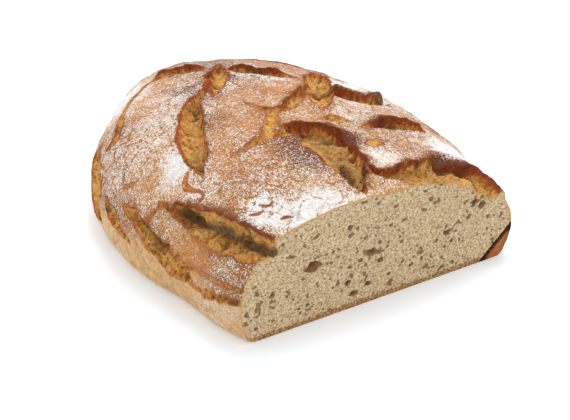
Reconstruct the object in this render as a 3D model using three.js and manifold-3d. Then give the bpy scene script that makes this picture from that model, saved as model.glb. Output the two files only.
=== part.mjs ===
// Sourdough loaf: the larger piece of a country loaf, cut straight across and lying on its
// flat bottom crust. Millimetres, +Z up. The cut face looks towards -Y, and the origin is at
// the bottom centre of the piece's bounding box.
import * as THREE from 'three';
import { mergeVertices } from 'three/addons/utils/BufferGeometryUtils.js';
import Module from 'manifold-3d';

const wasm = await Module();
wasm.setup();

// ---------------------------------------------------------------- driving dimensions
// The whole loaf is a dome over the plane Z = 0, and the cut is the plane Y = 0.
const DOME_X = 12;
const DOME_Y = 125;
// Plan radius where the loaf is widest, every 30 degrees anticlockwise from +X.
const PLAN_RADII = [142, 151, 179, 192, 156, 137, 126, 129, 168, 180, 200, 160];
const MIDDLING_RADIUS = 160;
const TOP_HEIGHT = 99.5;
const FALL_TO_RIGHT = 0.097; // mm of height lost per mm towards +X
const FALL_TO_BACK = 0.048; // the same towards +Y
const WIDEST_HEIGHT = 23.4; // the side is widest this far above the table
const TUCK = 0.075; // share of the radius that the side tucks in below that
const SHOULDER_POWER = 2.57; // superellipse power across the dome
const CROWN_POWER = 2.02; // superellipse power up the dome
const COLUMNS = 64; // mesh columns around the dome
const DOME_STEPS = 18; // mesh rows from the dome's top to the widest line
const TUCK_STEPS = 3; // mesh rows from there to the table
const TEAR_SPACING = 11; // spacing of the rows along a tear or a lip
const CRUST_COLOUR = 0xb5783c;
const CRUST_ROUGHNESS = 0.85;

// Tears where the rising crumb burst the crust: how deep the floor lies, how far it leans
// towards the wall on the left of the line (+) or on the right (-), and a line of
// [u, v, half width]. u and v are millimetres along the crust from the dome's top, added to
// the top's own X and Y, as if the crust were peeled off and laid flat.
const TEARS = {
  leftTop: { depth: 7, lean: 0.2,
    line: [[5, 209, 3], [-30, 167, 7], [-61, 123, 12], [-72, 92, 9], [-76, 72, 1]] },
  crown: { depth: 4, lean: 0, line: [[26, 232, 2], [6, 193, 9], [-18, 164, 1]] },
  frontLeft: { depth: 13, lean: 0.4,
    line: [[-112, 91, 1], [-99, 57, 9], [-85, 22, 13], [-70, -2, 8], [-62, -14, 7]] },
  upperSide: { depth: 5, lean: 0, line: [[-136, 164, 1], [-144, 140, 6], [-148, 112, 1]] },
  lowerSide: { depth: 8, lean: 0.4,
    line: [[-132, 129, 1], [-133, 100, 6], [-132, 70, 9], [-125, 28, 1]] },
  cornerSide: { depth: 5, lean: 0.3, line: [[-128, 29, 1], [-112, -2, 3], [-97, -24, 2]] },
  farLeft: { depth: 4, lean: 0, line: [[-106, 209, 1], [-126, 193, 7], [-151, 168, 1]] },
  arc: { depth: 5, lean: 0.3, line: [[-4, 138, 1], [4, 119, 3], [25, 123, 6], [60, 151, 9]] },
  slope: { depth: 4, lean: 0.2, line: [[-48, 77, 1], [-16, 81, 3], [10, 76, 9]] },
  middle: { depth: 11, lean: 0.2, line: [[6, 88, 2], [16, 66, 18], [17, 40, 18], [14, 6, 1]] },
  right: { depth: 9, lean: 0.5,
    line: [[28, 38, 2], [36, 18, 4], [66, 13, 14], [101, 10, 14], [132, -16, 6]] },
  farRight: { depth: 8, lean: 0.4, line: [[56, 76, 1], [86, 77, 10], [116, 71, 1]] },
  backRight: { depth: 6, lean: 0, line: [[91, 193, 2], [70, 154, 13], [43, 106, 1]] },
  shelf: { depth: 6, lean: 0.3, line: [[66, 138, 4], [96, 122, 9], [122, 113, 1]] },
  rightSide: { depth: 5, lean: -0.2, line: [[172, 40, 1], [186, 96, 5], [176, 140, 1]] },
  backTop: { depth: 5, lean: 0, line: [[40, 268, 1], [82, 242, 6], [116, 196, 1]] },
  backSide: { depth: 5, lean: -0.2, line: [[-78, 292, 1], [-10, 328, 5], [52, 322, 1]] },
};

// Crust edges that curled up beside the tears: the height of the crest, and its line of [u, v].
const LIPS = {
  farRight: { height: 6, line: [[66, 83], [92, 89], [116, 76]] },
  right: { height: 7, line: [[84, 32], [106, 29], [131, 3]] },
  middle: { height: 6, line: [[33, 84], [38, 66], [36, 50]] },
  leftTop: { height: 5, line: [[-6, 224], [-20, 196], [-32, 176]] },
  crown: { height: 5, line: [[14, 226], [24, 212], [30, 196]] },
  frontLeft: { height: 4, line: [[-104, 88], [-84, 48], [-54, 10]] },
  shelf: { height: 4, line: [[84, 140], [104, 131], [121, 122]] },
};

// Larger holes in the crumb, seen on the cut face: [x, z, half width, half height].
const HOLES = [
  [-26, 50, 6, 4.6], [18, 42, 3.6, 3.4], [72, 38, 2.6, 2.2], [56, 16, 4, 1.8], [72, 12, 2.4, 2],
  [101, 52, 4.6, 5.2], [108, 41, 3, 3.4], [-58, 28, 2, 4.2], [-42, 64, 4.4, 2.2], [60, 40, 2, 1.6],
];
const HOLE_DEPTH = 4;

// ---------------------------------------------------------------- the dome
const wrap = (index, count) => (index + count) % count;

// Smooth closed curve through the plan radii (Catmull-Rom).
function planRadius(bearing) {
  const count = PLAN_RADII.length;
  const place = wrap((bearing / (2 * Math.PI)) * count, count);
  const first = Math.floor(place);
  const f = place - first;
  const [a, b, c, d] = [-1, 0, 1, 2].map((k) => PLAN_RADII[wrap(first + k, count)]);
  return b + 0.5 * f * (c - a + f * (2 * a - 5 * b + 4 * c - d + f * (3 * (b - c) + d - a)));
}

// Side profile from the dome's top to the table: share of the plan radius, share of the rise
// above the widest line, height of the part below that line, and the way along the crust.
function sideProfile() {
  const rows = [];
  for (let i = 0; i <= DOME_STEPS; i += 1) {
    const t = (Math.PI * i) / (2 * DOME_STEPS);
    const rise = Math.max(Math.cos(t), 0) ** (2 / CROWN_POWER);
    rows.push({ out: Math.sin(t) ** (2 / SHOULDER_POWER), rise, base: WIDEST_HEIGHT });
  }
  for (let i = 1; i <= TUCK_STEPS; i += 1) {
    const t = (Math.PI * i) / (2 * TUCK_STEPS);
    rows.push({ out: 1 - TUCK * (1 - Math.cos(t)), rise: 0, base: WIDEST_HEIGHT * (1 - Math.sin(t)) });
  }
  let along = 0;
  return rows.map((row, i) => {
    const before = rows[Math.max(i - 1, 0)];
    const drop = (row.rise - before.rise) * (TOP_HEIGHT - WIDEST_HEIGHT) + row.base - before.base;
    along += Math.hypot((row.out - before.out) * MIDDLING_RADIUS, drop);
    return { ...row, along };
  });
}

const PROFILE = sideProfile();
const PROFILE_LENGTH = PROFILE[PROFILE.length - 1].along;

// Place on the dome for a bearing, a share of the plan radius and the profile's heights.
function onDome(bearing, out, rise, base) {
  const radius = out * planRadius(bearing);
  const x = radius * Math.cos(bearing);
  const y = radius * Math.sin(bearing);
  const top = TOP_HEIGHT - FALL_TO_RIGHT * x - FALL_TO_BACK * y;
  return new THREE.Vector3(DOME_X + x, DOME_Y + y, base + rise * (top - WIDEST_HEIGHT));
}

// Place on the crust at the peeled-flat position (u, v).
function onCrust(u, v) {
  const bearing = Math.atan2(v - DOME_Y, u - DOME_X);
  const reach = planRadius(bearing) + PROFILE_LENGTH - MIDDLING_RADIUS;
  const share = Math.min(Math.hypot(u - DOME_X, v - DOME_Y) / reach, 1);
  const along = share * PROFILE_LENGTH;
  const next = Math.max(PROFILE.findIndex((row) => row.along >= along - 1e-9), 1);
  const [low, high] = [PROFILE[next - 1], PROFILE[next]];
  const f = (along - low.along) / (high.along - low.along);
  const between = (key) => THREE.MathUtils.lerp(low[key], high[key], f);
  return onDome(bearing, between('out'), between('rise'), between('base'));
}

function crustNormal(u, v) {
  const step = 2;
  const alongU = onCrust(u + step, v).sub(onCrust(u - step, v));
  const alongV = onCrust(u, v + step).sub(onCrust(u, v - step));
  return alongU.cross(alongV).normalize();
}

// The whole loaf: the side profile turned round the dome's axis, then each point moved out
// or in to the plan outline and up to the sloping top.
function domeGeometry() {
  const onAxis = { out: 0 };
  const upwards = [...PROFILE, onAxis].reverse();
  const outline = upwards.map(({ out }, i) => new THREE.Vector2(out, i));
  const lathe = new THREE.LatheGeometry(outline, COLUMNS);
  lathe.rotateX(Math.PI / 2);
  const position = lathe.getAttribute('position');
  for (let i = 0; i < position.count; i += 1) {
    const row = PROFILE[PROFILE.length - Math.round(position.getZ(i))] ?? { rise: 0, base: 0 };
    const bearing = Math.atan2(position.getY(i), position.getX(i));
    const out = Math.hypot(position.getX(i), position.getY(i));
    const place = onDome(bearing, out, row.rise, row.base);
    position.setXYZ(i, place.x, place.y, place.z);
  }
  return lathe;
}

// ---------------------------------------------------------------- tears and lips
// Evenly spaced rows along a line, each with the direction across it.
function rowsAlong(line) {
  const curve = new THREE.CatmullRomCurve3(line.map(([u, v, half = 1]) => new THREE.Vector3(u, v, half)));
  const count = Math.round(curve.getLength() / TEAR_SPACING);
  return curve.getSpacedPoints(count).map((point, i) => {
    const { x, y } = curve.getTangentAt(i / count);
    const size = Math.hypot(x, y);
    return { u: point.x, v: point.y, half: point.z, across: [-y / size, x / size], share: i / count };
  });
}

// Ring of points given as [distance to the left of the line, height over the crust].
function ringAt(row, section) {
  return section.map(([left, height]) => {
    const u = row.u + left * row.across[0];
    const v = row.v + left * row.across[1];
    return onCrust(u, v).addScaledVector(crustNormal(u, v), height);
  });
}

// Closed tube through rings of as many points each, with a fan at each end.
function tubeGeometry(rings) {
  const sides = rings[0].length;
  const last = (rings.length - 1) * sides;
  const index = [];
  for (let ring = 0; ring < last; ring += sides) {
    for (let k = 0; k < sides; k += 1) {
      const a = ring + k;
      const b = ring + wrap(k + 1, sides);
      index.push(a, b, b + sides, a, b + sides, a + sides);
    }
  }
  for (let k = 1; k + 1 < sides; k += 1) {
    index.push(0, k + 1, k, last, last + k, last + k + 1);
  }
  return new THREE.BufferGeometry().setFromPoints(rings.flat()).setIndex(index);
}

function tearGeometry({ depth, lean, line }) {
  const above = 9;
  return tubeGeometry(rowsAlong(line).map((row) => {
    const half = Math.max(row.half, 0.5);
    const floor = -depth * Math.min(1, half / 4);
    const shift = 0.3 * lean;
    return ringAt(row, [
      [half * 1.05, above], [-half * 1.05, above], [-half, 0],
      [half * (shift - 0.6), floor], [half * (shift + 0.6), floor], [half, 0],
    ]);
  }));
}

function lipGeometry({ height, line }) {
  const root = -3;
  return tubeGeometry(rowsAlong(line).map((row) => {
    const crest = height * Math.sqrt(Math.sin(Math.PI * THREE.MathUtils.clamp(row.share, 0.06, 0.94)));
    return ringAt(row, [[-0.5, root], [9, root], [1.5, crest], [-1.5, 0.75 * crest]]);
  }));
}

// ---------------------------------------------------------------- the piece
function solidOf(geometry) {
  geometry.deleteAttribute('normal');
  geometry.deleteAttribute('uv');
  const merged = mergeVertices(geometry, 1e-3);
  const make = (triVerts) => new wasm.Manifold(new wasm.Mesh({
    numProp: 3,
    vertProperties: new Float32Array(merged.getAttribute('position').array),
    triVerts,
  }));
  const triangles = Uint32Array.from(merged.getIndex().array);
  const solid = make(triangles);
  return solid.volume() > 0 ? solid : make(triangles.reverse());
}

function holeGeometry([x, z, halfWidth, halfHeight]) {
  return new THREE.SphereGeometry(1, 8, 6).scale(halfWidth, HOLE_DEPTH, halfHeight).translate(x, 0, z);
}

function loafGeometry() {
  let solid = solidOf(domeGeometry());
  for (const lip of Object.values(LIPS)) {
    solid = solid.add(solidOf(lipGeometry(lip)));
  }
  for (const tear of Object.values(TEARS)) {
    solid = solid.subtract(solidOf(tearGeometry(tear)));
  }
  solid = solid.trimByPlane([0, 1, 0], 0);
  for (const hole of HOLES) {
    solid = solid.subtract(solidOf(holeGeometry(hole)));
  }
  const { vertProperties, triVerts } = solid.getMesh();
  const geometry = new THREE.BufferGeometry();
  geometry.setAttribute('position', new THREE.BufferAttribute(vertProperties, 3));
  geometry.setIndex(new THREE.BufferAttribute(triVerts, 1));
  geometry.computeBoundingBox();
  const { min, max } = geometry.boundingBox;
  geometry.translate(-(min.x + max.x) / 2, -(min.y + max.y) / 2, -min.z);
  geometry.computeVertexNormals();
  return geometry;
}

const crustLook = { color: CRUST_COLOUR, roughness: CRUST_ROUGHNESS, metalness: 0 };
const loafMaterial = new THREE.MeshStandardMaterial(crustLook);
const loaf = new THREE.Mesh(loafGeometry(), loafMaterial);
loaf.name = 'loaf';

const sourdoughLoaf = new THREE.Group();
sourdoughLoaf.name = 'sourdough_loaf';
sourdoughLoaf.add(loaf);

export default sourdoughLoaf;
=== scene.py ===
"""Sourdough loaf: the larger piece of a floured country loaf, cut straight across.

The piece lies on its flat bottom crust, with the cut face towards -Y. Its outside is one closed
mesh of three sheets that share their edges: the crust over the top and sides, the cut face, and
the bottom. Lengths inside the shape functions are millimetres of the loaf, with the cut in the
plane y = 0; place() takes them to the frame's metres.
"""

import math

import bpy
import numpy as np
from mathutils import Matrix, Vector


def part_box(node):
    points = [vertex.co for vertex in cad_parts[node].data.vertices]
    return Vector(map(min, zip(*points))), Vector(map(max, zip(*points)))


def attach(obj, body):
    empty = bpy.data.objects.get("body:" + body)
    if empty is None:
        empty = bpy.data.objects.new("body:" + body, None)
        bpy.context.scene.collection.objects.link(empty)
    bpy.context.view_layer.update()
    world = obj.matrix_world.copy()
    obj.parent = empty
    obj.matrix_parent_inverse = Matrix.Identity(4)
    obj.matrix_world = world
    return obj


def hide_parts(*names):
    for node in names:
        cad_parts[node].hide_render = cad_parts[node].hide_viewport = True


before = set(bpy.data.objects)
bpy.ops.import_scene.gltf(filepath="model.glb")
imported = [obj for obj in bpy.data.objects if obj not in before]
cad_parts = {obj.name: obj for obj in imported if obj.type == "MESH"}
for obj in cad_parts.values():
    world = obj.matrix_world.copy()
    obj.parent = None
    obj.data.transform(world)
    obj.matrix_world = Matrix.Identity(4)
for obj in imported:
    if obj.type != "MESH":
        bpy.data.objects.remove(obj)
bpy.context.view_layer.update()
BOX_LOW, BOX_HIGH = (np.array(corner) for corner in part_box("loaf"))

# ------------------------------------------------------------------ the dome of the whole loaf
# Plan place of the top, radii of the plan at even bearings from +X, height of the top, how the top
# plane falls towards +X and +Y, the height of the widest line, how far the foot tucks in, and the
# powers of the side's superellipse. The side's length is measured at the middling radius.
DOME = np.array([12.0, 125.0])
PLAN_RADII = np.array([142.0, 151, 179, 192, 156, 137, 126, 129, 168, 180, 200, 160])
MIDDLING_RADIUS = 160.0
TOP_HEIGHT = 99.5
FALL = np.array([0.097, 0.048])
WIDEST_HEIGHT = 23.4
TUCK = 0.075
SHOULDER_POWER = 2.57
CROWN_POWER = 2.02

# The lower right corner of the cut is all crust beyond a line through (x, z) with this slope,
# and is pressed in this far. It is painted dark, partly as baked crust and partly as painted shade
# under the loaf's bulge.
CORNER = (120.0, 6.0)
CORNER_SLOPE = math.radians(44)
CORNER_SINK = 1.6

# Mesh columns along the cut, rows from the cut to the back, and rows down the cut face.
COLUMNS = 250
ROWS = 250
FACE_ROWS = 108

# Bearings on the table line where the crust sheet's back edge starts and ends.
BACK_RIGHT, BACK_LEFT = math.radians(42), math.radians(138)

# Tears: depth of the floor, which wall is steep (+1 left of the line, -1 right, 0 neither), how
# far the crust lifts at the left and right walls, and the line of (u, v, half width), where u and
# v run along the crust from the dome's top as if it were peeled off and laid flat.
TEARS = {
    "left top": (6.5, 0.5, 2.5, 2.0, [
        (5, 209, 2.5), (-13, 180, 3.5), (-31, 166, 6.5), (-47, 148, 9.5), (-61, 124, 11.5),
        (-69, 103, 11), (-73, 88, 8), (-77, 74, 0.6),
    ]),
    "crown": (4.5, 0.0, 2.0, 2.0, [
        (24, 230, 2), (13, 208, 6), (6, 193, 8.5), (-6, 178, 5), (-18, 164, 1),
    ]),
    "hook": (2.5, 0.0, 0.8, 0.8, [
        (-84, 87, 0.7), (-90, 82, 1.8), (-90, 74, 1.5), (-84, 64, 0.7), (-86, 57, 0.6),
    ]),
    "front": (6.0, 0.25, 4.0, 0.8, [
        (-112, 91, 0.6), (-108, 80, 3), (-104, 69, 6), (-99, 57, 8.5), (-94, 43, 11), (-88, 28, 12),
        (-80, 14, 12), (-73, 3, 10.5), (-66, -9, 8), (-58, -22, 6),
    ]),
    "notch": (2.5, 0.0, 0.5, 0.8, [(-112, 92, 0.6), (-116, 91, 1), (-122, 93, 1), (-131, 100, 0.8)]),
    "upper side": (4.5, 0.5, 1.5, 0.5, [
        (-136, 165, 0.8), (-139, 158, 4.5), (-142, 147, 5.5), (-144, 136, 5.5), (-147, 124, 4),
        (-148, 110, 0.7),
    ]),
    "lower side": (5.0, 0.7, 2.0, 0.5, [
        (-132, 129, 0.8), (-131, 117, 3.5), (-132, 105, 5.5), (-134, 96, 6), (-134, 86, 7.5),
        (-132, 73, 8), (-131, 60, 8), (-128, 47, 7), (-125, 36, 5.5), (-125, 27, 0.8),
    ]),
    "corner side": (4.0, 0.6, 1.2, 0.3, [
        (-128, 30, 0.6), (-124, 20, 1.6), (-119, 10, 2.6), (-112, -2, 2.8), (-105, -13, 2),
        (-97, -25, 1.4),
    ]),
    "wrinkle": (1.4, 0.0, 0.8, 0.6, [
        (-121, 43, 0.5), (-117, 29, 0.7), (-106, 4, 0.7), (-93, -18, 0.6),
    ]),
    "far left": (3.5, 0.3, 1.2, 1.6, [
        (-104, 208, 0.8), (-115, 204, 7), (-127, 194, 10), (-136, 187, 11), (-144, 181, 9),
        (-152, 173, 1),
    ]),
    "left rim": (2.4, 0.3, 1.0, 2.5, [
        (-35, 242, 1.2), (-50, 234, 1.8), (-66, 222, 1.4), (-80, 208, 1.8), (-89, 195, 2.6),
        (-100, 187, 2.4), (-107, 190, 1.5),
    ]),
    "outer rim": (1.5, 0.0, 0.6, 0.4, [
        (-68, 251, 0.7), (-81, 244, 1.5), (-94, 235, 1.8), (-106, 224, 1.2),
    ]),
    "skyline left": (2.5, 0.9, 4.5, 0.5, [
        (-29, 241, 0.8), (-21, 240, 3.5), (-10, 236, 4), (1, 226, 4), (9, 216, 1),
    ]),
    "skyline right": (2.5, 0.9, 6.5, 0.5, [
        (20, 209, 1), (27, 204, 4), (37, 196, 4), (49, 185, 3), (62, 176, 0.8),
    ]),
    "arc": (4.5, 0.6, 3.0, 0.5, [
        (-4, 138, 0.6), (-1, 126, 2), (4, 119, 2.4), (13, 117, 3), (25, 123, 5), (41, 135, 6),
        (60, 151, 7),
    ]),
    "gap": (2.8, 0.0, 0.6, 0.6, [(6, 116, 5), (-1, 103, 4), (-8, 94, 5), (-15, 85, 5.5)]),
    "slope": (3.5, 0.5, 1.0, 0.6, [
        (-49, 76, 0.6), (-36, 78, 2.4), (-26, 81, 3), (-16, 81, 3.2), (-6, 82, 4.4), (3, 82, 6),
        (10, 78, 8),
    ]),
    "middle": (7.5, 0.5, 5.0, 1.5, [
        (2, 90, 2), (9, 82, 9), (15, 74, 15), (17, 65, 17), (18, 54, 16.5), (18, 44, 15.5),
        (18, 34, 13.5), (16, 25, 10), (14, 15, 6.5), (14, 5, 0.8),
    ]),
    "ridge": (1.6, 0.5, 2.0, 0.4, [
        (-2, 200, 1.8), (-12, 196, 1.3), (-22, 193, 1), (-39, 187, 0.7), (-54, 186, 0.4),
    ]),
    "white crack": (1.2, 0.0, 0.4, 0.4, [(-65, 21, 0.2), (-60, 19, 0.6), (-55, 20, 0.2)]),
    "pale crack": (1.2, 0.0, 0.4, 0.4, [(-56, 25, 0.2), (-51, 21, 0.5), (-47, 22, 0.2)]),
    "rim crack": (1.2, 0.0, 0.4, 0.4, [(-49, 8, 0.2), (-45, 8, 0.5), (-41, 6, 0.2)]),
    "fold": (1.4, 0.0, 0.8, 0.6, [
        (-116, 147, 0.4), (-122, 139, 0.8), (-119, 130, 0.7), (-113, 126, 0.4),
    ]),
    "patch": (3.0, 0.0, 0.5, 0.5, [(33, 95, 1), (39, 93, 4), (45, 91, 5.5), (53, 86, 1)]),
    "link": (4.5, 0.6, 1.0, 0.5, [(27, 38, 1.5), (29, 28, 3), (32, 21, 3.6), (39, 17, 3.4)]),
    "right": (6.5, 0.6, 5.0, 0.5, [
        (34, 20, 2.5), (44, 17, 7), (55, 15, 10.5), (66, 14, 12.5), (78, 14, 13), (90, 13, 13.5),
        (101, 9, 13), (112, 3, 12), (122, -6, 10), (134, -22, 6),
    ]),
    "far right": (6.0, 0.4, 5.0, 0.5, [
        (55, 76, 0.6), (67, 76, 4), (80, 76, 7.5), (93, 78, 9), (105, 76, 6.5), (115, 71, 0.8),
    ]),
    "chip": (2.5, 0.0, 0.8, 0.5, [(42, 52, 1.4), (48, 53, 4.8), (57, 55, 1.5)]),
    "back right": (5.0, 0.2, 2.0, 2.5, [
        (92, 194, 2), (83, 178, 8), (76, 165, 11), (65, 142, 12.5), (53, 121, 9), (43, 106, 0.8),
    ]),
    "shelf": (5.0, 0.6, 7.0, 0.4, [
        (66, 139, 4), (74, 136, 8), (83, 131, 8.5), (94, 124, 8), (104, 120, 7), (111, 117, 1.5),
    ]),
    "far rim": (4.0, 0.3, 1.5, 0.6, [
        (40, 269, 0.7), (60, 256, 3.5), (82, 240, 5), (100, 219, 5), (118, 194, 0.7),
    ]),
    "right flank": (4.0, -0.5, 0.6, 1.5, [
        (172, 38, 0.7), (180, 60, 3), (185, 84, 4.5), (185, 110, 4.5), (174, 142, 0.7),
    ]),
    "right shoulder": (4.5, -0.5, 0.6, 2.0, [
        (130, 176, 0.8), (142, 150, 4.5), (148, 122, 6), (152, 96, 5), (154, 70, 0.8),
    ]),
    "back flank": (4.0, 0.5, 1.5, 0.6, [
        (56, 320, 0.7), (28, 330, 3.5), (0, 332, 5), (-32, 322, 4.5), (-76, 294, 0.7),
    ]),
    "back shoulder": (3.5, 0.5, 1.5, 0.6, [
        (36, 296, 0.7), (12, 300, 3), (-14, 296, 4), (-48, 276, 0.7),
    ]),
}

# Deeper hollows inside the tears: extra depth, and the line of (u, v, half width).
HOLLOWS = [
    (7.0, [(-109, 78, 1.5), (-105, 68, 6), (-101, 58, 6.5), (-97, 48, 4)]),
    (4.5, [(-94, 44, 3.5), (-90, 35, 5.5), (-86, 26, 5), (-82, 18, 3)]),
    (6.0, [(-79, 13, 3), (-74, 4, 5), (-69, -3, 5), (-65, -9, 4)]),
    (6.5, [(-133, 112, 1), (-132, 100, 4.5), (-132, 85, 5), (-130, 70, 5.5), (-127, 56, 4.5), (-124, 44, 1)]),
    (3.5, [(-139, 154, 1), (-140, 144, 3), (-142, 132, 2.5), (-145, 122, 1)]),
    (5.0, [(20, 48, 3), (19, 40, 5), (17, 30, 4), (16, 22, 2)]),
    (4.0, [(28, 38, 2), (34, 60, 3), (26, 74, 3)]),
    (6.0, [(78, 26, 3), (90, 23, 6.5), (103, 17, 6.5), (114, 9, 3)]),
    (5.0, [(72, 79, 2), (88, 81, 4.5), (103, 80, 3)]),
    (1.2, [(-68, 110, 3), (-73, 96, 4), (-75, 84, 3)]),
    (3.0, [(-24, 172, 2), (-34, 162, 3), (-46, 150, 2)]),
    (4.0, [(76, 138, 2), (98, 127, 3.5), (114, 119, 2)]),
    (3.0, [(82, 172, 3), (72, 156, 4), (62, 140, 3)]),
]

# Floury or bare places on the crust: (u, v, radius, extra cover).
DUSTINGS = [
    (-36, 4, 18, 0.5), (-58, 20, 14, 0.45), (-12, 0, 16, 0.3), (8, -6, 14, 0.15), (46, 90, 10, 0.1),
    (-86, 100, 13, 0.45), (-88, 62, 12, 0.2), (-126, 205, 22, 0.15), (-100, 150, 40, 0.14),
    (-60, 165, 26, 0.1), (88, 138, 12, 0.9), (104, 128, 10, 0.9), (-62, 246, 24, 0.75),
    (60, 106, 20, 0.2), (92, 148, 26, 0.6), (24, 128, 12, 0.12), (122, 40, 26, 0.6), (46, 34, 14, 0.35),
    (22, 108, 12, 0.12), (-40, 120, 14, -0.05), (2, 60, 16, -0.12), (50, 190, 12, 0.5),
    (32, 203, 10, 0.4), (100, 30, 9, 0.35), (118, 16, 9, 0.3), (-98, 30, 12, -0.15),
    (-118, 60, 14, -0.02), (-104, 20, 16, -0.06), (-98, -4, 18, -0.08), (-90, 130, 40, 0.06),
]

# Places where the crust baked darker: (u, v, radius, extra browning). The patch at (168, -38), by
# the right foot, is partly painted shade under the loaf's bulge.
BROWNINGS_AND_SHADE = [
    (-42, 128, 16, 0.35), (-4, 66, 18, 0.6), (-20, 185, 22, 0.7), (30, 200, 24, 0.6), (60, 88, 14, 0.3),
    (-96, 22, 14, 0.1), (-112, 40, 28, -0.5), (-2, 44, 16, 0.3), (36, 62, 10, 0.6), (110, 24, 16, 0.5),
    (-60, 190, 26, -0.3), (168, -38, 34, 0.9), (20, 240, 26, 0.5), (40, 208, 18, 0.4),
    (-100, 120, 30, -0.35), (-40, 40, 30, -0.1),
]

# Larger holes in the crumb on the cut face: (x, z, half width, half height, tilt in degrees).
HOLES = [
    (-28, 45, 7.6, 5.2, 0), (20, 41, 4.7, 3.3, 0), (27, 32, 3.0, 2.6, 0), (84, 36, 3.8, 2.8, 0),
    (66, 13, 3.4, 2.2, 35), (5, 11, 3.8, 2.6, 0), (0, 22, 3.4, 2.6, 20), (17, 15, 3.4, 2.6, -20),
    (36, 10, 3.0, 2.2, 20), (107, 54, 3.8, 3.0, -30), (114, 50, 3.4, 3.9, -40), (120, 38, 2.1, 1.7, 30),
    (132, 36, 1.7, 3.5, -30), (93, 42, 1.7, 1.7, 0), (44, 42, 2.1, 1.7, 0), (33, 45, 1.3, 2.2, 0),
    (26, 47, 1.7, 1.7, 0), (61, 27, 3.0, 1.7, 0), (70, 22, 1.7, 1.3, 0), (75, 32, 2.1, 1.7, 0),
    (-12, 52, 1.7, 1.7, 0), (-23, 52, 3.0, 1.1, 0), (-26, 69, 3.4, 1.7, 30), (-36, 38, 2.1, 1.7, 0),
    (-60, 23, 3.4, 1.3, -35), (-70, 24, 1.3, 3.9, 0), (-72, 38, 2.1, 2.2, 0), (-60, 33, 2.5, 3.0, 0),
    (-81, 17, 1.3, 3.0, -10), (-32, 11, 2.5, 1.3, 0), (-14, 5, 2.1, 1.3, 0), (-60, 12, 2.1, 1.3, 0),
    (1, 35, 2.1, 1.7, 0), (-17, 44, 2.1, 1.7, 0), (13, 43, 1.3, 3.5, 15), (-61, 68, 6.4, 1.7, -18),
    (-45, 59, 4.2, 1.7, -10), (80, 7, 3.4, 1.7, 20), (94, 6, 2.1, 1.3, 0),
]


# How many more small holes are scattered over the cut face.
SMALL_HOLES = 760


# ------------------------------------------------------------------ numbers on whole arrays
def ease(start, end, x):
    """0 up to start and 1 from end on, with a smooth cubic between them."""
    t = np.clip((x - start) / (end - start), 0.0, 1.0)
    return t * t * (3.0 - 2.0 * t)


def scatter(ix, iy, seed):
    """A repeatable number from -1 to 1 for each whole-number point, by mixing its bits."""
    h = (ix.astype(np.int64) * 374761393 + iy.astype(np.int64) * 668265263 + seed * 1442695) & 0xFFFFFFFF
    h = ((h ^ (h >> 13)) * 1274126177) & 0xFFFFFFFF
    return ((h ^ (h >> 16)) & 0xFFFF) / 32767.5 - 1.0


def ripple(u, v, size, seed, octaves=3):
    """Smooth noise from about -1 to 1: random values on a square lattice of the given size, eased
    between lattice points, plus finer and weaker copies of itself."""
    total = np.zeros(np.shape(u))
    weight = 1.0
    for octave in range(octaves):
        a, b = np.asarray(u) / size + 17.3 * octave, np.asarray(v) / size - 9.1 * octave
        ia, ib = np.floor(a), np.floor(b)
        fa, fb = ease(0.0, 1.0, a - ia), ease(0.0, 1.0, b - ib)
        low = scatter(ia, ib, seed + octave) * (1 - fa) + scatter(ia + 1, ib, seed + octave) * fa
        high = scatter(ia, ib + 1, seed + octave) * (1 - fa) + scatter(ia + 1, ib + 1, seed + octave) * fa
        total += weight * (low * (1 - fb) + high * fb)
        weight *= 0.5
        size *= 0.5
    return total


def spline(points, spacing):
    """Rows along a smooth curve through the points (Catmull-Rom), about spacing apart."""
    p = np.array(points, float)
    ends = np.vstack([2 * p[0] - p[1], p, 2 * p[-1] - p[-2]])
    pieces = []
    for i in range(len(p) - 1):
        a, b, c, d = ends[i : i + 4]
        count = max(2, int(np.hypot(*(c - b)[:2]) / spacing))
        t = np.linspace(0, 1, count, endpoint=False)[:, None]
        pieces.append(b + 0.5 * t * (c - a + t * (2 * a - 5 * b + 4 * c - d + t * (3 * (b - c) + d - a))))
    return np.vstack([*pieces, p[-1:]])


def even_line(x, y, count):
    """Shares along the polyline (x, y) at count + 1 points evenly spaced by length."""
    step = np.hypot(np.diff(x), np.diff(y))
    along = np.concatenate([[0.0], np.cumsum(step)])
    want = np.linspace(0, along[-1], count + 1)
    return np.interp(want, along, x), np.interp(want, along, y)


# ------------------------------------------------------------------ the dome as a surface
def plan_radius(bearing):
    """Radius of the loaf's plan at its widest: a smooth closed curve through PLAN_RADII."""
    count = len(PLAN_RADII)
    turn = (bearing / (2 * np.pi) * count) % count
    first = np.floor(turn).astype(int)
    f = turn - first
    a, b, c, d = (PLAN_RADII[(first + k) % count] for k in (-1, 0, 1, 2))
    return b + 0.5 * f * (c - a + f * (2 * a - 5 * b + 4 * c - d + f * (3 * (b - c) + d - a)))


def side_profile():
    """Rows down the side of the dome: share of the way along the crust, share of the plan radius,
    share of the rise above the widest line, and height under it. A superellipse quadrant, then a
    quarter ellipse that tucks in to the table."""
    t = np.linspace(0, np.pi / 2, 160)
    tuck = np.linspace(0, np.pi / 2, 24)[1:]
    out = np.concatenate([np.sin(t) ** (2 / SHOULDER_POWER), 1 - TUCK * (1 - np.cos(tuck))])
    rise = np.concatenate([np.clip(np.cos(t), 0, 1) ** (2 / CROWN_POWER), 0 * tuck])
    base = np.concatenate([0 * t + WIDEST_HEIGHT, WIDEST_HEIGHT * (1 - np.sin(tuck))])
    step = np.hypot(np.diff(out) * MIDDLING_RADIUS, np.diff(rise * (TOP_HEIGHT - WIDEST_HEIGHT) + base))
    along = np.concatenate([[0.0], np.cumsum(step)])
    return along / along[-1], out, rise, base, along[-1]


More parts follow.
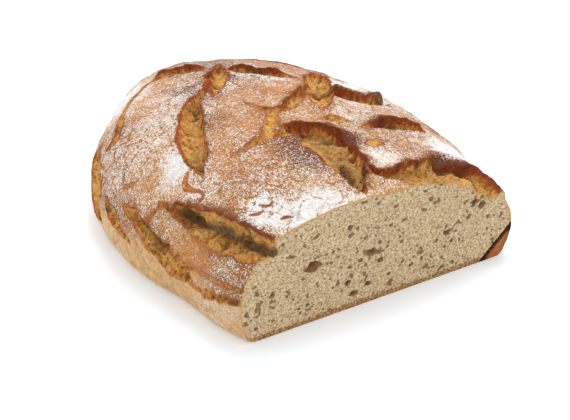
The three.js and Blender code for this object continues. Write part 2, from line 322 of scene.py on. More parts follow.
PROFILE_SHARE, PROFILE_OUT, PROFILE_RISE, PROFILE_BASE, PROFILE_LENGTH = side_profile()


def reach(bearing):
    """Peeled distance from the dome's top to the table."""
    return plan_radius(bearing) + PROFILE_LENGTH - MIDDLING_RADIUS


def dome(u, v):
    """Point of the dome at the peeled position (u, v): the distance from the dome's top picks the
    place down the side profile, and the bearing picks the plan radius."""
    du, dv = u - DOME[0], v - DOME[1]
    bearing = np.arctan2(dv, du)
    share = np.hypot(du, dv) / reach(bearing)
    radius = plan_radius(bearing) * np.interp(share, PROFILE_SHARE, PROFILE_OUT)
    x, y = radius * np.cos(bearing), radius * np.sin(bearing)
    top = TOP_HEIGHT - FALL[0] * x - FALL[1] * y
    rise = np.interp(share, PROFILE_SHARE, PROFILE_RISE)
    z = np.interp(share, PROFILE_SHARE, PROFILE_BASE) + rise * (top - WIDEST_HEIGHT)
    return np.stack([DOME[0] + x, DOME[1] + y, z], -1)


def dome_normal(u, v):
    """Outward normal of the dome, from central differences 3 mm each way."""
    along_u = dome(u + 3, v) - dome(u - 3, v)
    along_v = dome(u, v + 3) - dome(u, v - 3)
    n = np.cross(along_u, along_v)
    return n / np.linalg.norm(n, axis=-1, keepdims=True)


def cut_line(count):
    """Peeled positions where the cut crosses the crust, from the left foot to the right foot: on
    each bearing the profile share is found where y is 0, then spaced evenly along the section."""
    bearing = np.linspace(np.pi, 2 * np.pi, 4001)[1:-1]
    need = DOME[1] / (-np.sin(bearing) * plan_radius(bearing))
    widest = int(np.argmax(PROFILE_OUT))
    upper = np.interp(need, PROFILE_OUT[: widest + 1], PROFILE_SHARE[: widest + 1])
    inside = need < 1
    first, last = np.flatnonzero(inside)[[0, -1]]
    bearing, upper = bearing[first : last + 1], upper[first : last + 1]
    u, v = (DOME[k] + upper * reach(bearing) * f(bearing) for k, f in ((0, np.cos), (1, np.sin)))
    # below the widest line the section runs down each side, back towards the middle
    tail_points, settling_rounds = 60, 30
    tucked = np.linspace(PROFILE_SHARE[widest], 1, tail_points)
    tails = []
    for side in (0, -1):
        start = bearing[side]
        wide = np.interp(tucked, PROFILE_SHARE, PROFILE_OUT)
        turn = np.full(tail_points, start)
        for _ in range(settling_rounds):
            sine = np.clip(DOME[1] / (wide * plan_radius(turn)), -1, 1)
            turn = np.pi + np.arcsin(sine) if side == 0 else 2 * np.pi - np.arcsin(sine)
        out = tucked * reach(turn)
        tails.append((DOME[0] + out * np.cos(turn), DOME[1] + out * np.sin(turn)))
    u = np.concatenate([tails[0][0][::-1], u[1:-1], tails[1][0]])
    v = np.concatenate([tails[0][1][::-1], v[1:-1], tails[1][1]])
    return even_line(u, v, count)


def rim_line(start, end, count):
    """Peeled positions on the table line, at evenly spaced bearings from start to end."""
    bearing = np.linspace(start, end, count + 1)
    return DOME[0] + reach(bearing) * np.cos(bearing), DOME[1] + reach(bearing) * np.sin(bearing)


def crust_grid():
    """Peeled positions of the crust sheet, rows from the cut to the back and columns from left to
    right: a Coons patch, which is the sum of the two ruled surfaces between opposite edges less the
    bilinear one through the corners."""
    front_u, front_v = cut_line(COLUMNS)
    turns = [math.atan2(front_v[k] - DOME[1], front_u[k] - DOME[0]) % (2 * math.pi) for k in (0, -1)]
    left_u, left_v = rim_line(turns[0], BACK_LEFT, ROWS)
    right_u, right_v = rim_line(turns[1] - 2 * math.pi, BACK_RIGHT, ROWS)
    back_u, back_v = rim_line(BACK_LEFT, BACK_RIGHT, COLUMNS)
    a = np.linspace(0, 1, COLUMNS + 1)[None, :]
    b = np.linspace(0, 1, ROWS + 1)[:, None]
    b = b * (0.75 + 0.25 * b)  # rows lie closer together near the cut
    grids = []
    for front, back, left, right in ((front_u, back_u, left_u, right_u), (front_v, back_v, left_v, right_v)):
        ruled = (1 - b) * front[None, :] + b * back[None, :] + (1 - a) * left[:, None] + a * right[:, None]
        near_corners = (1 - a) * (1 - b) * front[0] + a * (1 - b) * front[-1]
        corners = near_corners + (1 - a) * b * back[0] + a * b * back[-1]
        grids.append(ruled - corners)
    return grids


# ------------------------------------------------------------------ tears, lips and flour
TEAR_REACH = 14.0  # how far outside a tear its edge distance still counts
LIFT_FADE = 6.0  # how far behind a tear its lifted edge dies away
LEAN_SHARE, LEAN_FADE = 0.45, 3.0  # overhang as a share of the lift, and its width
PULL_SHARE, PULL_FADE = 0.55, 2.4  # how strongly the mesh crowds to an edge, and from how far


def across_line(u, v, rows):
    """For each point, its distance from the line of rows, the side it is on (+1 left), the line's
    half width there, and the line's left-hand direction, all at the nearest row."""
    tangent = np.gradient(rows[:, :2], axis=0)
    tangent /= np.linalg.norm(tangent, axis=1, keepdims=True)
    gap = (u[:, None] - rows[None, :, 0]) ** 2 + (v[:, None] - rows[None, :, 1]) ** 2
    near = gap.argmin(1)
    left = np.stack([-tangent[near, 1], tangent[near, 0]], -1)
    offset = (u - rows[near, 0]) * left[:, 0] + (v - rows[near, 1]) * left[:, 1]
    return np.sqrt(gap.min(1)), np.where(offset < 0, -1.0, 1.0), rows[near, 2], left


def tear_marks(u, v):
    """What the tears do at each peeled position, as arrays in mm: edge, the distance inside the
    nearest tear edge (negative outside); depth of the torn floor; lift of the crust's edge, which
    dies away behind it; burnt, the lift again where the edge stuck out and caught the heat, only
    on the upper part of the wall; lean, the sideways shift that makes a lip overhang; and pull, the
    shift that crowds the mesh towards the edges. The half width is made ragged with noise, and
    the wall takes up a share of it, shorter on the steep side."""
    edge = np.full(u.shape, -TEAR_REACH)
    depth, lift, burnt = np.zeros(u.shape), np.zeros(u.shape), np.zeros(u.shape)
    lean, pull = np.zeros((*u.shape, 2)), np.zeros((*u.shape, 2))
    ragged = 1.4 * ripple(u, v, 7, 11) + 1.0 * ripple(u, v, 2.8, 12, 2)
    curl = 1 + 0.3 * ripple(u, v, 11, 13)
    for floor, steep, lift_left, lift_right, line in TEARS.values():
        rows = spline(line, 1.0)
        margin = rows[:, 2].max() + TEAR_REACH
        near = (u > rows[:, 0].min() - margin) & (u < rows[:, 0].max() + margin)
        near &= (v > rows[:, 1].min() - margin) & (v < rows[:, 1].max() + margin)
        gap, side, half, left = across_line(u[near], v[near], rows)
        size = np.clip(half / 4, 0.3, 1)
        half = half + ragged[near] * np.clip(half / 3, 0.15, 1)
        inside = half - gap
        slack = 0.5 * (1 - steep * np.clip(side * gap / np.maximum(half, 0.5), -1, 1))
        wall = 1.3 + 0.9 * np.maximum(half, 0) * slack
        sunk = ease(0, 1, inside / wall)
        raised = np.where(side > 0, lift_left, lift_right) * size * curl[near]
        raised = raised * np.exp(-((np.maximum(-inside, 0) / LIFT_FADE) ** 1.3))
        upper_wall = (sunk < 1) * ease(0.24 + 0.03 * raised, 0.04, sunk)
        burnt[near] = np.maximum(burnt[near], raised * upper_wall)
        raised = raised * (1 - sunk)
        nearer = inside > edge[near]
        edge[near] = np.where(nearer, inside, edge[near])
        depth[near] = np.maximum(depth[near], floor * size * sunk)
        lift[near] = np.maximum(lift[near], raised)
        hang = side * (side * steep > 0) * raised * np.exp(-((inside / LEAN_FADE) ** 2))
        lean[near] -= LEAN_SHARE * hang[:, None] * left
        squeeze = side * inside * PULL_SHARE * np.exp(-((inside / PULL_FADE) ** 2))
        pull[near] = np.where(nearer[:, None], squeeze[:, None] * left, pull[near])
    for extra, line in HOLLOWS:
        rows = spline(line, 1.0)
        gap, _, half, _ = across_line(u, v, rows)
        half = half + 1.4 * ragged
        depth = depth + extra * ease(0, 1, (half - gap) / (0.5 * np.maximum(half, 1) + 1))
    lift = lift * ease(6, 0, depth)
    return {"edge": edge, "depth": depth, "lift": lift, "burnt": burnt, "lean": lean, "pull": pull}


def patches(u, v, places):
    """Sum of soft round patches: each falls off as a bell of its radius."""
    total = np.zeros(u.shape)
    for pu, pv, radius, amount in places:
        total += amount * np.exp(-(((u - pu) ** 2 + (v - pv) ** 2) / radius**2))
    return total


# What the crust's points carry for its material: see tear_marks and crust_sheet.
CRUST_MARKS = ("edge", "depth", "burnt", "grit", "dust", "brown", "foot")


def crust_sheet():
    """Points of the crust sheet and its marks. Columns and rows first crowd towards the tears'
    edges. Then each point leaves the dome along its normal: up by the lift and the skin's own
    unevenness, down by the torn floor, with lumps and grit on it. The cut row stays in the cut's
    plane and the outer edge on the table. Besides the tears' marks there are grit, the roughness
    of torn crumb, which also places painted shade and highlight on it; dust, the flour's cover;
    brown, the baking, with painted shade by the right foot; and foot, 0 at the top to 1 at the table."""
    grid_u, grid_v = crust_grid()
    shape = grid_u.shape
    u, v = grid_u.ravel(), grid_v.ravel()
    row, column = (k.ravel() for k in np.indices(shape))
    border = np.minimum.reduce([row, ROWS - row, column, COLUMNS - column])
    free = ease(0, 5, border)[:, None]
    marks = tear_marks(u, v)
    u, v = (np.stack([u, v], -1) + marks["pull"] * free).T
    marks = tear_marks(u, v)
    torn = ease(0, 2, marks["depth"])
    foot = np.hypot(u - DOME[0], v - DOME[1]) / reach(np.arctan2(v - DOME[1], u - DOME[0]))
    skin = 1.3 * ripple(u, v, 42, 1) + 0.4 * ripple(u, v, 11, 2) * (1 - torn)
    lumps, grit = ripple(u, v, 9, 3), ripple(u, v, 3.4, 4, 2)
    crumbly = np.clip(0.36 * marks["depth"], 0.5, 2.5) * lumps + 1.2 * grit
    rise = skin + marks["lift"] - marks["depth"] + torn * crumbly
    rise *= ease(1.0, 0.93, foot)
    lean = marks["lean"] * free
    point = dome(u + lean[:, 0], v + lean[:, 1])
    away = dome_normal(u, v)
    away[:, 1] *= ease(0, 9, point[:, 1])
    point += away * rise[:, None]
    point[:, 2] = np.maximum(point[:, 2], 0.0)
    first = row == 0
    point[first, 1] = 0.0
    point[(row == ROWS) | (first & ((column == 0) | (column == COLUMNS))), 2] = 0.0
    point[(column == 0) | (column == COLUMNS), 2] = 0.0
    plate = 0.46 + 0.07 * ripple(u, v, 38, 21) + 0.05 * ripple(u, v, 12, 22)
    plate = plate + 0.8 * patches(u, v, DUSTINGS)
    brown = 0.42 + 0.20 * ripple(u, v, 46, 31) + patches(u, v, BROWNINGS_AND_SHADE)
    marks["grit"] = 0.6 * lumps + 0.5 * grit
    marks["dust"] = np.clip(plate, 0, 1.3)
    marks["brown"] = np.clip(brown, 0, 1.3)
    marks["foot"] = foot
    return point.reshape(*shape, 3), {k: marks[k].reshape(shape) for k in CRUST_MARKS}


# ------------------------------------------------------------------ the cut face and the bottom
def small_holes():
    """Many small holes scattered over the cut face, most of them close to the smallest size."""
    random = np.random.default_rng(7)
    across, up = (-90, 146), (3, 86)
    smallest, spread = 0.8, 1.6
    flattest, roundest = 0.55, 1.0
    return [
        (random.uniform(*across), random.uniform(*up), radius,
         radius * random.uniform(flattest, roundest), random.uniform(0, 180))
        for radius in smallest + spread * random.random(SMALL_HOLES) ** 3.0
    ]


def face_sheet(top):
    """Points of the cut face: straight columns from the bottom edge up to the crust's cut row, the
    holes of the crumb pressed in as half ellipsoids with ragged rims, and the dark corner pressed
    in beyond its line. Marks are the distance to the crust above, the height over the bottom, how
    deep each point lies in a hole, and the distance beyond the corner's line."""
    count = len(top)
    share = np.linspace(0, 1, count)
    bottom = np.stack([top[0, 0] + share * (top[-1, 0] - top[0, 0]), 0 * share, 0 * share], -1)
    rise = np.linspace(0, 1, FACE_ROWS + 1)[:, None, None]
    point = (1 - rise) * bottom[None] + rise * top[None]
    x, z = point[..., 0].ravel(), point[..., 2].ravel()
    under = np.full(x.shape, 99.0)
    for k in range(0, count, 2):
        under = np.minimum(under, np.hypot(x - top[k, 0], z - top[k, 2]))
    inner = np.minimum(under, z)
    hole, sink = np.zeros(x.shape), np.zeros(x.shape)
    wobble = 1 + 0.30 * ripple(x, z, 2.6, 41, 2)
    for hx, hz, half_width, half_height, tilt in HOLES + small_holes():
        near = (np.abs(x - hx) < 1.8 * half_width + 4) & (np.abs(z - hz) < 1.8 * half_width + 4)
        cosine, sine = math.cos(math.radians(tilt)), math.sin(math.radians(tilt))
        dx, dz = x[near] - hx, z[near] - hz
        along, across = dx * cosine + dz * sine, dz * cosine - dx * sine
        reach_out = np.hypot(along / half_width, across / half_height) * wobble[near]
        bowl = np.sqrt(np.clip(1 - reach_out**2, 0, 1))
        size = min(half_width, half_height)
        sink[near] = np.maximum(sink[near], 0.95 * size * bowl)
        hole[near] = np.maximum(hole[near], bowl * min(1.0, 0.35 + size / 4))
    rough = 0.18 * ripple(x, z, 3.2, 42) + 0.35 * ripple(x, z, 30, 43)
    corner = (x - CORNER[0]) * math.sin(CORNER_SLOPE) - (z - CORNER[1]) * math.cos(CORNER_SLOPE)
    sink += CORNER_SINK * ease(-0.5, 1.0, corner)
    border = ease(0, 2.2, inner)
    depth = (np.clip(sink, 0, 5) + rough) * border
    point[..., 1] += depth.reshape(point.shape[:2])
    point[0, :, 1] = point[-1, :, 1] = point[:, 0, 1] = point[:, -1, 1] = 0.0
    marks = {"under": under, "height": z, "hole": hole * border, "corner": corner}
    return point, {k: m.reshape(point.shape[:2]) for k, m in marks.items()}


def place(points):
    """Millimetres of the loaf to the frame's metres: the plan is centred in the CAD box and scaled
    so that its length fills the box's."""
    return (points - PLAN_CENTRE) * MM + np.array([*(BOX_LOW + BOX_HIGH)[:2] / 2, BOX_LOW[2]])


def plan_box():
    """Lowest and highest plan corner of the piece behind the cut, at its widest line."""
    bearing = np.linspace(0, 2 * np.pi, 2880)
    x = DOME[0] + plan_radius(bearing) * np.cos(bearing)
    y = DOME[1] + plan_radius(bearing) * np.sin(bearing)
    kept = y >= 0
    return np.array([x[kept].min(), 0.0]), np.array([x[kept].max(), y.max()])


PLAN_LOW, PLAN_HIGH = plan_box()
PLAN_CENTRE = np.array([*(PLAN_LOW + PLAN_HIGH) / 2, 0.0])
MM = (BOX_HIGH[1] - BOX_LOW[1]) / (PLAN_HIGH[1] - PLAN_LOW[1])


# ------------------------------------------------------------------ the mesh
def sheet_triangles(points, index, chart):
    """Triangles of a sheet and their map corners, from its grids of vertex numbers and map places.
    Each cell is split along its shorter diagonal, and the empty triangles where an edge of the
    sheet shrinks to one vertex are left out."""
    walk = ((slice(None, -1), slice(None, -1)), (slice(None, -1), slice(1, None)),
            (slice(1, None), slice(1, None)), (slice(1, None), slice(None, -1)))
    corner = np.stack([index[w] for w in walk], 2).reshape(-1, 4)
    place_on_map = np.stack([chart[w] for w in walk], 2).reshape(-1, 4, 2)
    at = points[corner]
    diagonal = np.linalg.norm(at[:, :2] - at[:, 2:], axis=2)
    turned = diagonal[:, 0] > diagonal[:, 1]
    corner[turned] = np.roll(corner[turned], 1, axis=1)
    place_on_map[turned] = np.roll(place_on_map[turned], 1, axis=1)
    halves = ([0, 1, 2], [0, 2, 3])
    triangles = np.concatenate([corner[:, h] for h in halves])
    maps = np.concatenate([place_on_map[:, h] for h in halves])
    full = (triangles != np.roll(triangles, 1, axis=1)).all(1)
    return triangles[full], maps[full]


def chart_grid(rows, columns, low, high, upright=False):
    """Map places of a sheet: an even grid over the rectangle from low to high."""
    down, across = np.meshgrid(np.linspace(0, 1, rows), np.linspace(0, 1, columns), indexing="ij")
    share = np.stack([down, across] if upright else [across, down], -1)
    return np.array(low) + share * (np.array(high) - np.array(low))


def bottom_rings(points, loop):
    """The points with the bottom's added, and its grid of vertex numbers: the closed loop on the
    table line, copies of it shrunk towards the middle, and the middle itself as the last row."""
    middle = np.array([*PLAN_CENTRE[:2], 0.0])
    rows = [loop]
    for share in (0.985, 0.95, 0.85, 0.6, 0.3):
        ring = len(points) + np.arange(len(loop) - 1)
        points = np.vstack([points, middle + (points[loop[:-1]] - middle) * share])
        rows.append(np.append(ring, ring[0]))
    rows.append(np.full(len(loop), len(points)))
    return np.vstack([points, middle]), np.array(rows)


def add_mark(mesh, name, value):
    """Gives every point of the mesh a number under that name."""
    mesh.attributes.new(name, "FLOAT", "POINT").data.foreach_set("value", value)


def sharpen(mesh, lines):
    """Marks the mesh edges along the given lines of vertex numbers as sharp."""
    ends = np.zeros(len(mesh.edges) * 2, int)
    mesh.edges.foreach_get("vertices", ends)
    ends = np.sort(ends.reshape(-1, 2), axis=1)
    seams = np.concatenate([np.sort(np.stack([line[:-1], line[1:]], -1), axis=1) for line in lines])
    key = [len(mesh.vertices), 1]
    sharp = np.isin(ends @ key, seams @ key)
    mesh.attributes.new("sharp_edge", "BOOLEAN", "EDGE").data.foreach_set("value", sharp)


def make_mesh(name, points, triangles, kinds, maps):
    """A smooth mesh of triangles, each with its material number and its three map corners."""
    mesh = bpy.data.meshes.new(name)
    mesh.vertices.add(len(points))
    mesh.vertices.foreach_set("co", place(points).ravel())
    mesh.loops.add(triangles.size)
    mesh.loops.foreach_set("vertex_index", triangles.ravel())
    mesh.polygons.add(len(triangles))
    mesh.polygons.foreach_set("loop_start", np.arange(len(triangles)) * 3)
    mesh.polygons.foreach_set("material_index", kinds)
    mesh.polygons.foreach_set("use_smooth", np.ones(len(triangles), bool))
    mesh.update(calc_edges=True)
    mesh.uv_layers.new(name="OFBake").data.foreach_set("uv", maps.ravel())
    return mesh


def build_loaf():
    """One closed mesh of three sheets: the crust, the cut face, which shares the crust's cut row,
    and the bottom, which is rings that shrink from the table line to the middle."""
    crust, marks = crust_sheet()
    face, face_marks = face_sheet(crust[0])
    crust_index = np.arange(crust[..., 0].size).reshape(crust.shape[:2])
    own = np.ones(face.shape[:2], bool)
    own[-1] = own[:, 0] = own[:, -1] = False
    face_index = np.zeros(own.shape, int)
    face_index[own] = crust_index.size + np.arange(own.sum())
    face_index[-1] = crust_index[0]
    face_index[:, 0], face_index[:, -1] = crust_index[0, 0], crust_index[0, -1]
    loop = np.concatenate([
        crust_index[:-1, 0], crust_index[-1, :-1], crust_index[:0:-1, -1], face_index[0, :0:-1],
    ])
    loop = np.append(loop, loop[0])
    points, bottom_index = bottom_rings(np.vstack([crust.reshape(-1, 3), face[own]]), loop)
    # the crust takes the left of the map, the cut face and the bottom the right
    flat = (points[bottom_index][..., :2] - PLAN_LOW) / (PLAN_HIGH - PLAN_LOW)
    charts = (
        chart_grid(*crust_index.shape, (0.003, 0.003), (0.76, 0.997)),
        chart_grid(*face_index.shape, (0.77, 0.003), (0.997, 0.6), upright=True),
        np.array([0.775, 0.615]) + np.clip(flat, -0.02, 1.02) * np.array([0.215, 0.375]),
    )
    indices = (crust_index, face_index, bottom_index)
    sheets = [sheet_triangles(points, index, chart) for index, chart in zip(indices, charts)]
    triangles, maps = (np.concatenate(part) for part in zip(*sheets))
    kinds = np.repeat(np.arange(len(sheets)), [len(t) for t, _ in sheets])

    mesh = make_mesh("sourdough_loaf", points, triangles, kinds, maps)
    for name, grid in marks.items():
        value = np.zeros(len(points))
        value[crust_index] = grid
        add_mark(mesh, name, value)
    for name, grid in face_marks.items():
        value = np.zeros(len(points))
        value[face_index[own]] = grid[own]
        add_mark(mesh, name, value)
    sharpen(mesh, [crust_index[0], loop])
    loaf = bpy.data.objects.new("sourdough_loaf", mesh)
    bpy.context.scene.collection.objects.link(loaf)
    return loaf


# ------------------------------------------------------------------ materials
class Value:
    """A number from a node's socket. Arithmetic on it adds Math nodes."""

    def __init__(self, tree, socket):
        self.tree, self.socket = tree, socket

    def math(self, operation, *values):
        node = self.tree.nodes.new("ShaderNodeMath")
        node.operation = operation
        for place_in, value in zip(node.inputs, values):
            if isinstance(value, Value):
                self.tree.links.new(value.socket, place_in)
            else:
                place_in.default_value = value
        return Value(self.tree, node.outputs[0])

    def __add__(self, other):
        return self.math("ADD", self, other)

    def __sub__(self, other):
        return self.math("SUBTRACT", self, other)

    def __rsub__(self, other):
        return self.math("SUBTRACT", other, self)

    def __mul__(self, other):
        return self.math("MULTIPLY", self, other)

    __radd__, __rmul__ = __add__, __mul__


# All paint is this much darker, because the studio's light is bright enough for a white floor.
DIM = 0.86


def paint(red, green, blue):
    """Linear colour of a display colour from 0 to 255, dimmed because the studio is bright."""
    share = [c / 255 for c in (red, green, blue)]
    return (*[DIM * (c / 12.92 if c <= 0.04045 else ((c + 0.055) / 1.055) ** 2.4) for c in share], 1.0)


class Recipe:
    """One material and the node tree that makes it."""

    def __init__(self, name):
        self.material = bpy.data.materials.new(name)
        self.material.use_nodes = True
        self.tree = self.material.node_tree
        self.tree.nodes.clear()
        self.at = self.node("TexCoord", {}, {}, "Object")

    def node(self, kind, settings, values, out=0):
        """Adds a node of that kind: its settings first, then its sockets' values or links."""
        node = self.tree.nodes.new("ShaderNode" + kind)
        for name, setting in settings.items():
            setattr(node, name, setting)
        for key, value in values.items():
            if isinstance(value, Value):
                self.tree.links.new(value.socket, node.inputs[key])
            else:
                node.inputs[key].default_value = value
        return Value(self.tree, node.outputs[out]) if len(node.outputs) else None

    def mark(self, name):
        """A number carried by the mesh's points."""
        return self.node("Attribute", {"attribute_name": name}, {}, "Fac")

    def noise(self, size, detail=3.0, rough=0.6, warp=0.0):
        """Noise around 0, about -1 to 1, with lumps of that size in millimetres."""
        values = {"Vector": self.at, "Scale": 1000 / size}
        values.update({"Detail": detail, "Roughness": rough, "Distortion": warp})
        return self.node("TexNoise", {}, values, "Fac") * 3.4 - 1.7

    def cells(self, size, feature="F1"):
        """Distance to the nearest scattered point, or with DISTANCE_TO_EDGE to the border between
        two of them, in shares of that size in millimetres."""
        values = {"Vector": self.at, "Scale": 1000 / size}
        return self.node("TexVoronoi", {"feature": feature}, values, "Distance")

    def step(self, value, start, end, low=0.0, high=1.0):
        """Smoothly from low at start to high at end."""
        values = {"Value": value, "From Min": start, "From Max": end, "To Min": low, "To Max": high}
        return self.node("MapRange", {"interpolation_type": "SMOOTHSTEP"}, values)

    def mix(self, share, first, second):
        """Colour between first and second."""
        settings = {"data_type": "RGBA", "clamp_factor": True}
        return self.node("Mix", settings, {0: share, 6: first, 7: second}, 2)

    def finish(self, colour, roughness, height, depth_mm, gloss):
        """The surface: colour, roughness, a height that dents it by up to depth_mm, and gloss."""
        bump = self.node("Bump", {}, {"Height": height, "Distance": depth_mm / 1000, "Strength": 1.0})
        values = {"Base Color": colour, "Roughness": roughness, "Normal": bump, "Specular IOR Level": gloss}
        surface = self.node("BsdfPrincipled", {}, values)
        self.node("OutputMaterial", {}, {"Surface": surface})
        return self.material


def crust_skin(m, mark, noise):
    """Colour of the unbroken crust, how much its edges caught the heat, the dark rim beside the
    tears, and two things that shape the bump: the flour and its cracks. Over the baked brown come
    the tan band round the side, dark specks, flour that thickens from cream to white where its
    cover passes a limit, and fine brown cracks."""
    edge, brown, foot = mark["edge"], mark["brown"], mark["foot"]
    wide, coarse, middling = noise["wide"], noise["coarse"], noise["middling"]
    fine, grain = noise["fine"], noise["grain"]
    caught = m.step(mark["burnt"] + 0.9 * middling + 0.5 * coarse, 0.8, 5.0)
    brown = brown + m.step(edge + middling, -7.0, -0.5, 0, 0.25) + 0.2 * caught
    baking = m.step(brown + 0.16 * coarse + 0.14 * middling, 0.1, 0.95)
    skin = m.mix(baking, paint(200, 132, 66), paint(128, 70, 32))
    band = m.step(foot + 0.012 * wide + 0.006 * middling, 0.79, 0.87)
    tan = m.mix(m.step(coarse + 0.7 * fine, -0.9, 0.9), paint(236, 194, 132), paint(200, 142, 82))
    skin = m.mix(band, skin, tan)
    skin = m.mix(m.step(brown + 0.15 * middling, 0.8, 1.15, 0, 0.85), skin, paint(106, 62, 46))
    skin = m.mix(m.step(grain + 0.5 * fine, 0.5, 1.3, 0, 0.6), skin, paint(112, 60, 30))
    plates = m.cells(13, "DISTANCE_TO_EDGE")
    cracked = m.step(plates + 0.07 * fine + 0.08 * middling, 0.0, 0.05)
    cover = mark["dust"] - 0.03 * band + 0.03 * wide + 0.05 * coarse + 0.13 * middling
    cover = cover + 0.40 * fine + 0.34 * grain
    cover = cover - 0.16 * caught - 0.45 * (1 - cracked) * m.step(wide, -0.3, 0.5)
    flour = m.step(cover, 0.42, 0.66) * m.step(edge, -0.2, -1.2)
    dusty = m.mix(m.step(cover, 0.48, 0.80), paint(238, 214, 182), paint(254, 254, 253))
    skin = m.mix(flour * (0.97 - 0.3 * band), skin, dusty)
    scales = m.cells(9, "DISTANCE_TO_EDGE")
    crackle = m.step(scales + 0.10 * middling + 0.06 * fine, 0.05, 0.0)
    crackle = crackle * m.step(coarse + wide, -0.1, 0.9) * (0.6 - 0.5 * band)
    skin = m.mix(crackle, skin, paint(122, 66, 32))
    rim = m.step(edge + 0.4 * fine, -1.2, -0.1) * (0.3 + 0.5 * caught)
    charred = m.mix(m.step(fine + caught, 0.0, 1.6), paint(178, 102, 52), paint(108, 60, 40))
    return m.mix(rim, skin, charred), caught, rim, flour, cracked


def torn_crumb(m, mark, noise, caught):
    """Colour of the crumb where the crust tore open, and its pits: golden, paler brown on the
    floor, rusty near the edges, painted shade in the dips and a painted highlight on the ridges,
    nearly black where it caught the heat, painted grey brown shade in the deepest hollows, and
    painted shade in the pits."""
    depth, gritty = mark["depth"], mark["grit"]
    coarse, middling, fine = noise["coarse"], noise["middling"], noise["fine"]
    golden = m.step(middling + 0.7 * fine, -0.9, 0.9)
    crumb = m.mix(golden, paint(242, 142, 50), paint(255, 218, 124))
    crumb = m.mix(m.step(depth + 1.2 * coarse, 5.0, 8.5, 0, 0.7), crumb, paint(188, 144, 92))
    rusty = m.step(mark["edge"] + 1.6 * middling, 4.0, 0.2, 0, 0.6)
    rusty = rusty + m.step(mark["burnt"] + middling, 0.4, 2.4, 0, 0.75)
    crumb = m.mix(rusty, crumb, paint(190, 88, 28))
    # Painted shade in the low parts of the crumb's lumpy relief and a painted highlight on its high parts.
    painted_shade_in_dips = m.step(gritty + 0.25 * fine, -0.1, -0.8, 0, 0.75)
    crumb = m.mix(painted_shade_in_dips, crumb, paint(126, 72, 34))
    painted_highlight_on_ridges = m.step(gritty + 0.3 * fine, 0.35, 0.95, 0, 0.7)
    crumb = m.mix(painted_highlight_on_ridges, crumb, paint(255, 206, 124))
    charred = caught * m.step(fine + middling, -0.9, 0.9, 0.95, 0.25)
    crumb = m.mix(charred, crumb, paint(112, 56, 30))
    # Painted shade: the deepest hollows of the tears are painted grey brown.
    hollow_shade_colour = m.mix(m.step(fine, -0.9, 0.9), paint(112, 84, 56), paint(164, 130, 94))
    crumb = m.mix(m.step(depth + coarse, 8.0, 10.5, 0, 0.75), crumb, hollow_shade_colour)
    # Painted shade: the pits of the torn crumb are painted darker.
    pits_painted_dark = m.step(m.cells(3.1) + 0.14 * fine, 0.34, 0.16)
    return m.mix(pits_painted_dark * 0.35, crumb, paint(96, 56, 28)), pits_painted_dark


def crust_material():
    """Floured plates over brown crust, torn golden crumb in the tears, dark rims where the crust
    lifted and caught, and a smooth tan band round the side. The tears' edge is roughened with
    noise before anything reads it."""
    m = Recipe("floured_crust")
    mark = {name: m.mark(name) for name in CRUST_MARKS}
    noise = {
        "wide": m.noise(22, 2),
        "coarse": m.noise(7, 3),
        "middling": m.noise(3.4, 3),
        "fine": m.noise(1.25, 3, 0.7, 0.2),
        "grain": m.noise(0.7, 2, 0.6),
    }
    middling, fine = noise["middling"], noise["fine"]
    edge = mark["edge"] + 0.7 * middling + 0.3 * fine
    mark["edge"] = edge - 0.9 * m.step(mark["dust"], 0.95, 1.25)
    skin, caught, rim, flour, cracked = crust_skin(m, mark, noise)
    crumb, pits_painted_dark = torn_crumb(m, mark, noise, caught)
    torn = m.step(mark["edge"], -0.25, 0.25)
    plain = 0.25 * middling + 0.25 * flour * fine + 0.08 * noise["grain"] + 0.2 * cracked
    rough = 0.8 * middling + 0.6 * fine - 1.0 * pits_painted_dark
    height = plain * (1 - torn) + rough * torn
    return m.finish(m.mix(torn, skin, crumb), 0.86 - 0.3 * rim * (1 - torn), height, 1.0, 0.3)


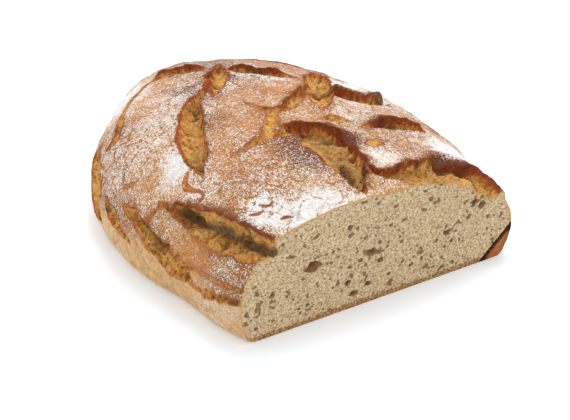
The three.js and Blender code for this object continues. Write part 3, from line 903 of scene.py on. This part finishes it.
def crumb_material():
    """Pale sour crumb: fine pores with light walls, painted shade in the pores and inside the holes
    and a painted highlight round the holes' rims, a golden line under the crust, a rough brown band
    over the bottom crust, and the dark corner, baked crust that is partly painted shade."""
    m = Recipe("cut_crumb")
    under, height, hole, corner = (m.mark(k) for k in ("under", "height", "hole", "corner"))
    coarse, middling, fine = m.noise(14, 2), m.noise(3.6, 3), m.noise(1.8, 3, 0.65)
    colour = m.mix(m.step(fine + 0.5 * middling, -1.1, 1.0), paint(184, 138, 88), paint(255, 234, 192))
    colour = m.mix(m.step(coarse, -0.8, 1.0, 0, 0.3), colour, paint(190, 158, 114))
    # Painted shade: the pores, large and small, are painted darker than the crumb round them.
    pores_painted_dark = m.step(m.cells(2.7) + 0.12 * fine, 0.30, 0.15) * m.step(middling, -0.7, 0.4)
    small_pores_painted_dark = m.step(m.cells(1.5) + 0.1 * fine, 0.30, 0.12)
    colour = m.mix(small_pores_painted_dark * 0.45, colour, paint(138, 98, 58))
    colour = m.mix(pores_painted_dark * 0.85, colour, paint(124, 82, 42))
    # A painted highlight round the rim of each hole, then painted shade inside it, darkest where it is
    # deepest.
    colour = m.mix(m.step(hole, 0.02, 0.12) * m.step(hole, 0.4, 0.2) * 0.6, colour, paint(246, 232, 202))
    colour = m.mix(m.step(hole + 0.15 * fine, 0.2, 0.6, 0, 0.85), colour, paint(154, 112, 68))
    colour = m.mix(m.step(hole + 0.2 * middling, 0.7, 1.0, 0, 0.8), colour, paint(104, 68, 36))
    base = m.step(height + 1.5 * middling + 0.6 * fine, 5.6, 3.2)
    baked = m.mix(m.step(fine, -0.5, 0.5), paint(140, 88, 44), paint(206, 160, 100))
    colour = m.mix(base * 0.9, colour, baked)
    colour = m.mix(m.step(under + 0.9 * middling, 2.6, 0.8, 0, 0.85), colour, paint(222, 168, 96))
    # Painted shade and highlight: the corner's crust is darkest next to its line, as shade under the bulge,
    # and turns to a painted orange highlight towards its far edge.
    shell_with_painted_shade = m.mix(m.step(corner + fine, 4.0, 7.0), paint(70, 32, 20), paint(196, 120, 64))
    colour = m.mix(m.step(corner + 0.6 * middling, -0.3, 0.5), colour, shell_with_painted_shade)
    dent = 0.6 * fine + 0.3 * middling - 1.1 * pores_painted_dark - 0.5 * small_pores_painted_dark
    return m.finish(colour, 0.9, dent, 0.8, 0.2)


def bottom_material():
    """Baked bottom: even brown with paler floury patches."""
    m = Recipe("bottom_crust")
    coarse, middling, fine = m.noise(24, 3), m.noise(5, 3), m.noise(1.4, 2)
    colour = m.mix(m.step(coarse + 0.5 * middling, -0.9, 0.9), paint(140, 88, 50), paint(184, 128, 76))
    flour = m.step(coarse + 0.8 * fine + 0.4 * middling, 0.3, 1.5)
    colour = m.mix(flour * 0.7, colour, paint(228, 208, 184))
    return m.finish(colour, 0.85, 0.5 * middling + 0.3 * fine, 0.6, 0.25)


# ------------------------------------------------------------------ the piece
loaf = build_loaf()
for material in (crust_material(), crumb_material(), bottom_material()):
    loaf.data.materials.append(material)
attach(loaf, "root")
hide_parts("loaf")


# ------------------------------------------------------------------ floor, light and camera
def make_floor(size):
    """A plain pale floor just under the loaf."""
    half = size / 2
    mesh = bpy.data.meshes.new("studio_floor")
    corners = [(-half, -half, 0), (half, -half, 0), (half, half, 0), (-half, half, 0)]
    mesh.from_pydata(corners, [], [(0, 1, 2, 3)])
    m = Recipe("studio_paper")
    surface = m.node("BsdfPrincipled", {}, {
        "Base Color": (0.9, 0.95, 1.0, 1), "Roughness": 0.9, "Specular IOR Level": 0.1,
        "Emission Color": (1, 1, 1, 1), "Emission Strength": 0.13,
    })
    m.node("OutputMaterial", {}, {"Surface": surface})
    mesh.materials.append(m.material)
    floor = bpy.data.objects.new("studio_floor", mesh)
    bpy.context.scene.collection.objects.link(floor)
    return floor


FLOOR_SIZE = 8.0
make_floor(FLOOR_SIZE)

scene = bpy.context.scene
scene.view_settings.view_transform = "Standard"
world = bpy.data.worlds.new("studio")
world.use_nodes = True
sky = world.node_tree.nodes["Background"]
sky.inputs["Color"].default_value = (1, 1, 1, 1)
sky.inputs["Strength"].default_value = 0.98
scene.world = world

# The camera and the lamp both look at this point inside the loaf.
AIM = place(np.array([0.0, 86.6, 35.0]))
LAMP_OFFSET = np.array([0.45, 0.45, 1.45])


def look(obj, position, target):
    """Puts obj at position with its -Z axis towards target."""
    obj.location = position
    obj.rotation_euler = (Vector(target) - Vector(position)).to_track_quat("-Z", "Y").to_euler()


lamp_data = bpy.data.lights.new("softbox", "AREA")
lamp_data.energy = 11.8
lamp_data.shape = "DISK"
lamp_data.size = 0.9
lamp = bpy.data.objects.new("softbox", lamp_data)
look(lamp, AIM + LAMP_OFFSET, AIM)
scene.collection.objects.link(lamp)

AZIMUTH, ELEVATION = math.radians(-30.4), math.radians(32.2)
CAMERA_AWAY = 1000 * MM
towards = np.array([
    math.sin(AZIMUTH) * math.cos(ELEVATION), -math.cos(AZIMUTH) * math.cos(ELEVATION), math.sin(ELEVATION),
])
camera_data = bpy.data.cameras.new("camera")
camera_data.lens = 86.1
camera = bpy.data.objects.new("camera", camera_data)
look(camera, AIM + CAMERA_AWAY * towards, AIM)
scene.collection.objects.link(camera)
scene.camera = camera
